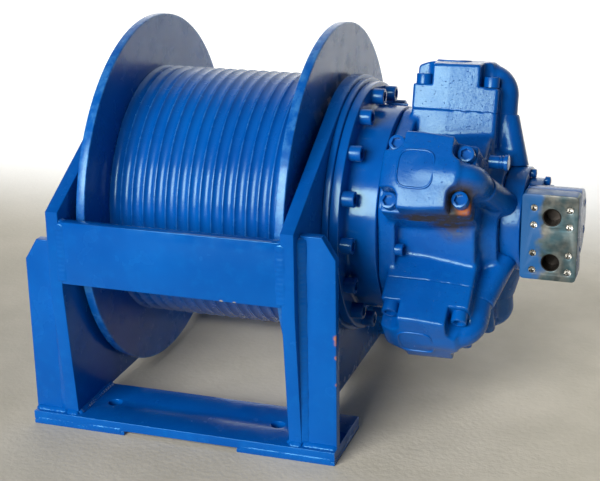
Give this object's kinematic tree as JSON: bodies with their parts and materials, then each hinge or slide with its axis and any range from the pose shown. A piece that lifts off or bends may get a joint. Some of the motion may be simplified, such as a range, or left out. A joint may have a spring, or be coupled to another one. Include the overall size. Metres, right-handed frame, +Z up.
{
  "type": "hydraulic winch",
  "caption": "Hydraulic rope winch: grooved drum in a welded plate frame, turned through a planetary gearbox and a brake by a radial piston motor with a side port block.",
  "frame": {"origin": "on the ground under the middle of the bounding box", "axes": "+X along the drum axis towards the motor, -Y towards the front cross-beam and the port face, +Z up"},
  "size_m": [0.7894, 0.644, 0.585],
  "materials": {
    "frame_paint": "glossy mid-blue enamel over welded mill plate",
    "drum_paint": "glossy mid-blue enamel over turned steel, thinner on the groove crests",
    "machined_paint": "glossy mid-blue enamel over turned steel",
    "casting_paint": "glossy mid-blue enamel over pitted iron castings",
    "zinc_plate": "dull zinc-grey machined face with blue overspray along one side",
    "gear_steel": "ground and oiled steel",
    "bearing_steel": "polished bearing steel",
    "bronze": "machined bronze",
    "brake_lining": "dull grey sintered lining",
    "seal_rubber": "black nitrile rubber"
  },
  "bodies": {
    "frame": {"side_plate_left": "frame_paint", "side_plate_right": "frame_paint", "cross_beam_front": "frame_paint", "cross_beam_rear": "frame_paint", "base_strip_front": "frame_paint", "base_strip_rear": "frame_paint", "foot_pad_front_left": "frame_paint", "foot_pad_front_right": "frame_paint", "foot_pad_rear_left": "frame_paint", "foot_pad_rear_right": "frame_paint", "gusset_front_left": "frame_paint", "gusset_front_right": "frame_paint", "gusset_rear_left": "frame_paint", "gusset_rear_right": "frame_paint", "stub_axle": "machined_paint", "planet_carrier": "gear_steel", "gearbox_flange": "machined_paint", "brake_housing": "machined_paint", "brake_plate_1": "brake_lining", "brake_plate_2": "brake_lining", "brake_piston": "gear_steel", "crankcase": "casting_paint", "cylinder_head_1": "casting_paint", "cylinder_head_2": "casting_paint", "cylinder_head_3": "casting_paint", "cylinder_head_4": "casting_paint", "cylinder_head_5": "casting_paint", "main_bearing_front": "bearing_steel", "main_bearing_rear": "bearing_steel", "shaft_seal": "seal_rubber", "rear_cover": "casting_paint", "distributor_housing": "casting_paint", "end_cover": "casting_paint", "port_block": "zinc_plate"},
    "drum": {"drum_barrel": "drum_paint", "drum_flange_left": "drum_paint", "drum_flange_right": "drum_paint", "drum_bearing_left": "bearing_steel", "drum_bearing_right": "bearing_steel", "ring_gear": "gear_steel"},
    "crank": {"crankshaft": "gear_steel", "sun_shaft": "gear_steel", "brake_disc": "bronze", "distributor_rotor": "bronze"},
    "planet_1": {"planet_gear_1": "gear_steel"},
    "planet_2": {"planet_gear_2": "gear_steel"},
    "planet_3": {"planet_gear_3": "gear_steel"},
    "piston_set_1": {"piston_1": "bearing_steel", "connecting_rod_1": "gear_steel"},
    "piston_set_2": {"piston_2": "bearing_steel", "connecting_rod_2": "gear_steel"},
    "piston_set_3": {"piston_3": "bearing_steel", "connecting_rod_3": "gear_steel"},
    "piston_set_4": {"piston_4": "bearing_steel", "connecting_rod_4": "gear_steel"},
    "piston_set_5": {"piston_5": "bearing_steel", "connecting_rod_5": "gear_steel"}
  },
  "joints": [
    {"name": "drum_spin", "type": "hinge", "parent": "frame", "child": "drum", "pos_m": [-0.15125, 0, 0.3], "axis": [1, 0, 0], "continuous": true},
    {"name": "crank_spin", "type": "hinge", "parent": "frame", "child": "crank", "pos_m": [0.19175, 0, 0.3], "axis": [1, 0, 0], "continuous": true},
    {"name": "planet_spin_1", "type": "hinge", "parent": "frame", "child": "planet_1", "pos_m": [-0.04625, 0.096, 0.3], "axis": [1, 0, 0], "continuous": true},
    {"name": "planet_spin_2", "type": "hinge", "parent": "frame", "child": "planet_2", "pos_m": [-0.04625, -0.048, 0.38314], "axis": [1, 0, 0], "continuous": true},
    {"name": "planet_spin_3", "type": "hinge", "parent": "frame", "child": "planet_3", "pos_m": [-0.04625, -0.048, 0.21686], "axis": [1, 0, 0], "continuous": true},
    {"name": "piston_stroke_1", "type": "slide", "parent": "frame", "child": "piston_set_1", "axis": [0, -0.8434, 0.5373], "range_m": [-0.008, 0.008]},
    {"name": "piston_stroke_2", "type": "slide", "parent": "frame", "child": "piston_set_2", "axis": [0, 0.2504, 0.9681], "range_m": [-0.008, 0.008]},
    {"name": "piston_stroke_3", "type": "slide", "parent": "frame", "child": "piston_set_3", "axis": [0, 0.9981, 0.061], "range_m": [-0.008, 0.008]},
    {"name": "piston_stroke_4", "type": "slide", "parent": "frame", "child": "piston_set_4", "axis": [0, 0.3665, -0.9304], "range_m": [-0.008, 0.008]},
    {"name": "piston_stroke_5", "type": "slide", "parent": "frame", "child": "piston_set_5", "axis": [0, -0.7716, -0.6361], "range_m": [-0.008, 0.008]}
  ],
  "couplings": [
    {"joint": "crank_spin", "follows": "drum_spin", "ratio": -3},
    {"joint": "planet_spin_1", "follows": "drum_spin", "ratio": 3},
    {"joint": "planet_spin_2", "follows": "drum_spin", "ratio": 3},
    {"joint": "planet_spin_3", "follows": "drum_spin", "ratio": 3}
  ]
}
